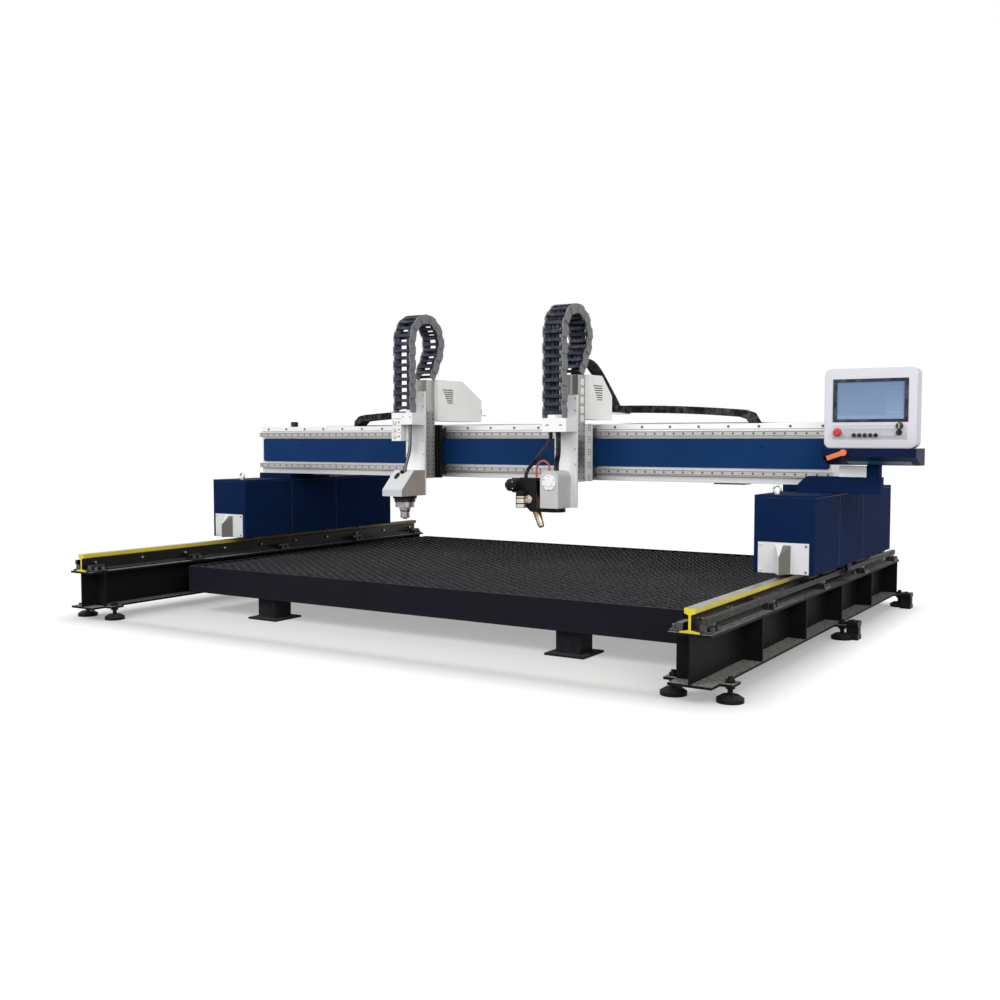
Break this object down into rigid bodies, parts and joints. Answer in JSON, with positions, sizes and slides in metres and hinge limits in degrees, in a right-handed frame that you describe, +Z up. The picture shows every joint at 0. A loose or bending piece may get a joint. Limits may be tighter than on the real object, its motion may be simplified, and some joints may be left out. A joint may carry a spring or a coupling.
{
  "type": "cnc plasma table",
  "caption": "Gantry plasma cutting table: rail tracks, slatted bed, travelling beam with an upright torch head and a bevel torch head, and an operator console on a swivel post.",
  "frame": {"origin": "on the floor, at the centre of the table legs' anchor holes", "axes": "+X along the gantry beam towards the console, +Y along the rails away from the operator, +Z up"},
  "size_m": [4.785, 3.4, 1.9253],
  "materials": {
    "black_paint": "satin black paint",
    "yellow_paint": "semi-gloss yellow paint",
    "dark_steel": "oiled dark steel",
    "steel": "ground steel",
    "slat_steel": "dark mill-scale steel",
    "navy_paint": "gloss navy paint",
    "white_paint": "satin white paint",
    "aluminium": "satin machined aluminium",
    "column_alloy": "anodised extrusion",
    "cast_iron": "machined cast iron",
    "black_plastic": "moulded black plastic",
    "hose_rubber": "black rubber",
    "orange_rubber": "orange rubber",
    "screen_glass": "glossy display",
    "red_plastic": "glossy red plastic",
    "orange_plastic": "glossy orange plastic",
    "brass": "machined brass"
  },
  "bodies": {
    "base": {"track_beams": "black_paint", "rails": "yellow_paint", "rail_clamps": "dark_steel", "racks": "steel", "levelling_feet": "black_paint", "table_frame": "black_paint", "slats": "slat_steel", "table_legs": "black_paint"},
    "gantry": {"carriage_shells": "navy_paint", "sweeper_plates": "white_paint", "beam_seats": "navy_paint", "lifting_eyes": "steel", "cross_beam": "aluminium", "front_panel": "navy_paint", "x_rails": "steel", "chain_tray": "aluminium", "wheel_axles": "steel", "drive_motors": "dark_steel", "beam_stops": "hose_rubber", "console_arm": "navy_paint", "junction_box": "white_paint"},
    "left_saddle": {"left_saddle": "aluminium", "left_column": "column_alloy", "left_housing": "white_paint", "left_x_chain": "black_plastic", "left_z_chain": "black_plastic"},
    "left_lift": {"left_lift": "aluminium", "left_hood": "white_paint", "left_torch": "dark_steel", "left_hoses": "hose_rubber"},
    "right_saddle": {"right_saddle": "aluminium", "right_column": "column_alloy", "right_housing": "white_paint", "right_x_chain": "black_plastic", "right_z_chain": "black_plastic", "right_duct": "hose_rubber"},
    "right_lift": {"right_lift": "aluminium", "bevel_gearbox": "white_paint", "gearbox_cable": "hose_rubber"},
    "bevel_arm": {"bevel_arm": "dark_steel", "torch_lead": "hose_rubber", "bevel_hose": "orange_rubber"},
    "bevel_torch": {"bevel_torch": "brass"},
    "console": {"console_shell": "white_paint", "console_screen": "screen_glass", "console_tray": "navy_paint"},
    "wheel_front_left": {"wheel_front_left": "cast_iron"},
    "wheel_front_right": {"wheel_front_right": "cast_iron"},
    "wheel_rear_left": {"wheel_rear_left": "cast_iron"},
    "wheel_rear_right": {"wheel_rear_right": "cast_iron"},
    "pinion_left": {"pinion_left": "steel"},
    "pinion_right": {"pinion_right": "steel"},
    "tray_lever": {"tray_lever": "orange_plastic"},
    "estop_button": {"estop_button": "red_plastic"},
    "selector_1": {"selector_1": "black_plastic"},
    "selector_2": {"selector_2": "black_plastic"},
    "selector_3": {"selector_3": "black_plastic"},
    "selector_4": {"selector_4": "black_plastic"},
    "selector_5": {"selector_5": "black_plastic"},
    "key_switch": {"key_switch": "black_plastic"}
  },
  "joints": [
    {"name": "gantry_travel", "type": "slide", "parent": "base", "child": "gantry", "axis": [0, 1, 0], "range_m": [-1.1, 0.3]},
    {"name": "wheel_front_left_roll", "type": "hinge", "parent": "gantry", "child": "wheel_front_left", "pos_m": [-2, -0.434, 0.4843], "axis": [1, 0, 0], "range_deg": [-240, 850]},
    {"name": "wheel_rear_left_roll", "type": "hinge", "parent": "gantry", "child": "wheel_rear_left", "pos_m": [-2, 0.746, 0.4843], "axis": [1, 0, 0], "range_deg": [-240, 850]},
    {"name": "wheel_front_right_roll", "type": "hinge", "parent": "gantry", "child": "wheel_front_right", "pos_m": [2, -0.434, 0.4843], "axis": [1, 0, 0], "range_deg": [-240, 850]},
    {"name": "wheel_rear_right_roll", "type": "hinge", "parent": "gantry", "child": "wheel_rear_right", "pos_m": [2, 0.746, 0.4843], "axis": [1, 0, 0], "range_deg": [-240, 850]},
    {"name": "pinion_left_turn", "type": "hinge", "parent": "gantry", "child": "pinion_left", "pos_m": [-2.114, 0.156, 0.356], "axis": [0, 0, 1], "range_deg": [-440, 1585]},
    {"name": "pinion_right_turn", "type": "hinge", "parent": "gantry", "child": "pinion_right", "pos_m": [2.114, 0.156, 0.356], "axis": [0, 0, 1], "range_deg": [-1585, 440]},
    {"name": "left_traverse", "type": "slide", "parent": "gantry", "child": "left_saddle", "axis": [1, 0, 0], "range_m": [-1.1, 0.25], "deforming": ["left_x_chain"]},
    {"name": "left_lift_slide", "type": "slide", "parent": "left_saddle", "child": "left_lift", "axis": [0, 0, 1], "range_m": [-0.25, 0.06], "deforming": ["left_z_chain"]},
    {"name": "right_traverse", "type": "slide", "parent": "gantry", "child": "right_saddle", "axis": [1, 0, 0], "range_m": [-0.35, 0.85], "deforming": ["right_x_chain"]},
    {"name": "right_lift_slide", "type": "slide", "parent": "right_saddle", "child": "right_lift", "axis": [0, 0, 1], "range_m": [-0.25, 0.06], "deforming": ["right_z_chain"]},
    {"name": "bevel_rotate", "type": "hinge", "parent": "right_lift", "child": "bevel_arm", "pos_m": [0.575, -0.523, 0.7], "axis": [0, 0, 1], "range_deg": [-30, 180], "deforming": ["bevel_hose", "torch_lead"]},
    {"name": "bevel_tilt", "type": "hinge", "parent": "bevel_arm", "child": "bevel_torch", "pos_m": [0.42, -0.523, 0.7597], "axis": [0, -1, 0], "range_deg": [-20, 20]},
    {"name": "console_swivel", "type": "hinge", "parent": "gantry", "child": "console", "pos_m": [2.352, -0.2643, 0.97], "axis": [0, 0, 1], "range_deg": [0, 35]},
    {"name": "lever_turn", "type": "hinge", "parent": "console", "child": "tray_lever", "pos_m": [2.237, -0.4416, 1.0483], "axis": [0, -1, 0], "range_deg": [-30, 40]},
    {"name": "estop_press", "type": "slide", "parent": "console", "child": "estop_button", "axis": [0, 1, 0], "range_m": [0, 0.005], "stiffness_N_per_m": 600},
    {"name": "selector_1_turn", "type": "hinge", "parent": "console", "child": "selector_1", "pos_m": [2.257, -0.3216, 1.1383], "axis": [0, -1, 0], "range_deg": [-45, 45]},
    {"name": "selector_2_turn", "type": "hinge", "parent": "console", "child": "selector_2", "pos_m": [2.285, -0.3216, 1.1383], "axis": [0, -1, 0], "range_deg": [-45, 45]},
    {"name": "selector_3_turn", "type": "hinge", "parent": "console", "child": "selector_3", "pos_m": [2.313, -0.3216, 1.1383], "axis": [0, -1, 0], "range_deg": [-45, 45]},
    {"name": "selector_4_turn", "type": "hinge", "parent": "console", "child": "selector_4", "pos_m": [2.341, -0.3216, 1.1383], "axis": [0, -1, 0], "range_deg": [-45, 45]},
    {"name": "selector_5_turn", "type": "hinge", "parent": "console", "child": "selector_5", "pos_m": [2.369, -0.3216, 1.1383], "axis": [0, -1, 0], "range_deg": [-45, 45]},
    {"name": "key_turn", "type": "hinge", "parent": "console", "child": "key_switch", "pos_m": [2.485, -0.3216, 1.1523], "axis": [0, -1, 0], "range_deg": [0, 90]}
  ],
  "couplings": [
    {"joint": "wheel_front_left_roll", "follows": "gantry_travel", "rad_per_m": -13.333},
    {"joint": "wheel_rear_left_roll", "follows": "gantry_travel", "rad_per_m": -13.333},
    {"joint": "wheel_front_right_roll", "follows": "gantry_travel", "rad_per_m": -13.333},
    {"joint": "wheel_rear_right_roll", "follows": "gantry_travel", "rad_per_m": -13.333},
    {"joint": "pinion_left_turn", "follows": "gantry_travel", "rad_per_m": -25},
    {"joint": "pinion_right_turn", "follows": "gantry_travel", "rad_per_m": 25}
  ]
}
